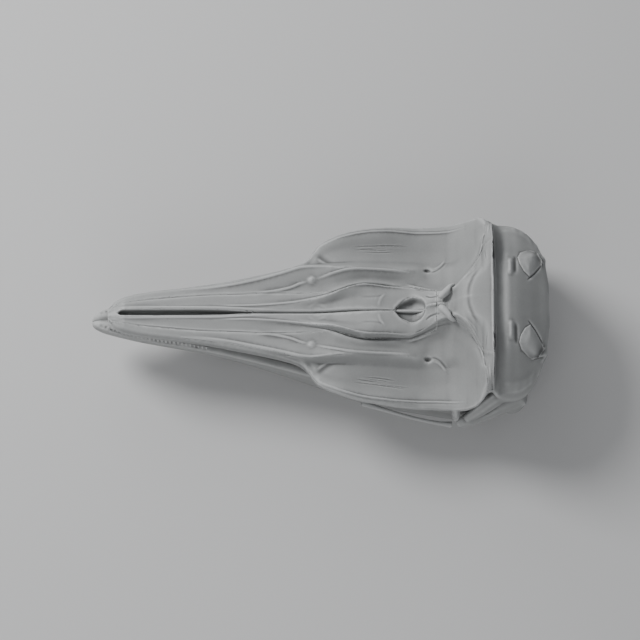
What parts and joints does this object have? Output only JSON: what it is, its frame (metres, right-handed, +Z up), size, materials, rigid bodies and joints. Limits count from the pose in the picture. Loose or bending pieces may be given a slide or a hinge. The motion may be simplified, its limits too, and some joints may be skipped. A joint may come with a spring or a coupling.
{
  "type": "harbour porpoise skull",
  "caption": "Life-size bare skull of a harbour porpoise with its lower jaw closed: tapering beak, dished face, domed braincase and fine teeth.",
  "frame": {"origin": "centre of the bounding box in plan, at the floor that the jaw rests on", "axes": "+X from the nose to the back of the head, +Y to the animal's right, +Z up"},
  "size_m": [0.2815, 0.1288, 0.093],
  "materials": {
    "bone": "matt dry bone, pale neutral grey",
    "smooth_bone": "smooth matt bone, slightly paler",
    "ear_bone": "dense satin bone",
    "jaw_bone": "matt dry bone, pale neutral grey"
  },
  "bodies": {
    "root": {"premaxilla_right": "smooth_bone", "premaxilla_left": "smooth_bone", "maxilla_right": "bone", "maxilla_left": "bone", "frontal_right": "bone", "frontal_left": "bone", "vomer": "bone", "ethmoid": "bone", "nasal_right": "smooth_bone", "nasal_left": "smooth_bone", "braincase": "bone", "ear_bone_right": "ear_bone", "ear_bone_left": "ear_bone", "jugal_right": "bone", "jugal_left": "bone", "mandible_right": "jaw_bone", "mandible_left": "jaw_bone"}
  },
  "joints": []
}
